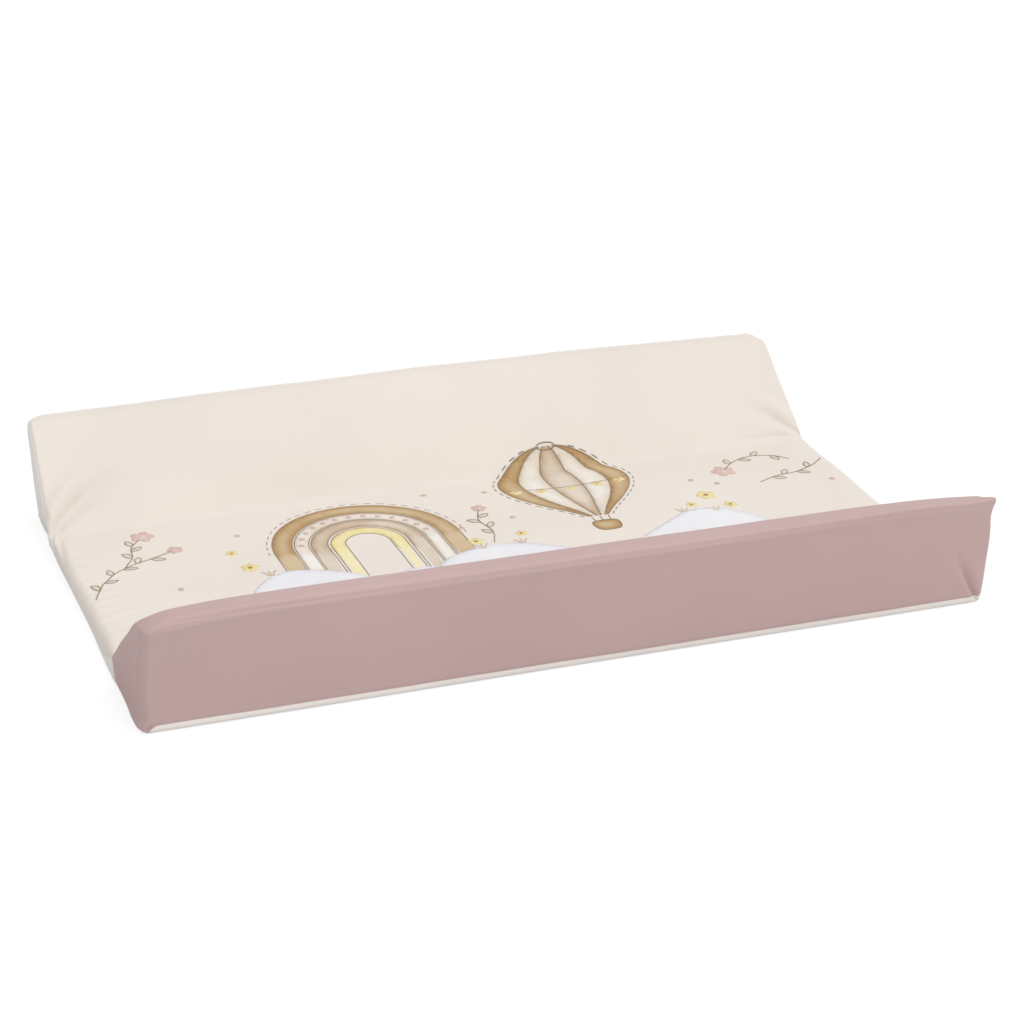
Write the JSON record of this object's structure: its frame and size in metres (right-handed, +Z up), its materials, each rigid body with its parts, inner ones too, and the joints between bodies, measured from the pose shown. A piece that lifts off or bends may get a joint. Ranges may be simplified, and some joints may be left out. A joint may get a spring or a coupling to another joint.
{
  "type": "changing mat",
  "caption": "Wedge-sided nursery changing mat: a stiff board and shaped foam in a welded cover of coated sheet, with a shallow trough between two long raised walls.",
  "frame": {"origin": "middle of the flat underside", "axes": "+X along the mat's length, to the right when the dusty pink wall faces the viewer; +Y from the pink front wall to the white back wall; +Z up"},
  "size_m": [0.7999, 0.4964, 0.1135],
  "materials": {
    "hardboard": "raw pressed fibre board",
    "foam": "open-cell polyether foam",
    "white_sheet": "satin coated sheet",
    "cream_sheet": "satin coated sheet, printed",
    "pink_sheet": "satin coated sheet"
  },
  "bodies": {
    "root": {"stiffening_board": "hardboard", "base_foam": "foam", "front_wedge_foam": "foam", "back_wedge_foam": "foam", "bottom_cover": "white_sheet", "top_cover": "cream_sheet", "front_cover": "pink_sheet", "back_cover": "white_sheet", "front_crest_weld": "pink_sheet", "back_crest_weld": "white_sheet", "front_base_weld": "pink_sheet", "back_base_weld": "white_sheet", "left_end_weld": "white_sheet", "right_end_weld": "white_sheet"}
  },
  "joints": []
}
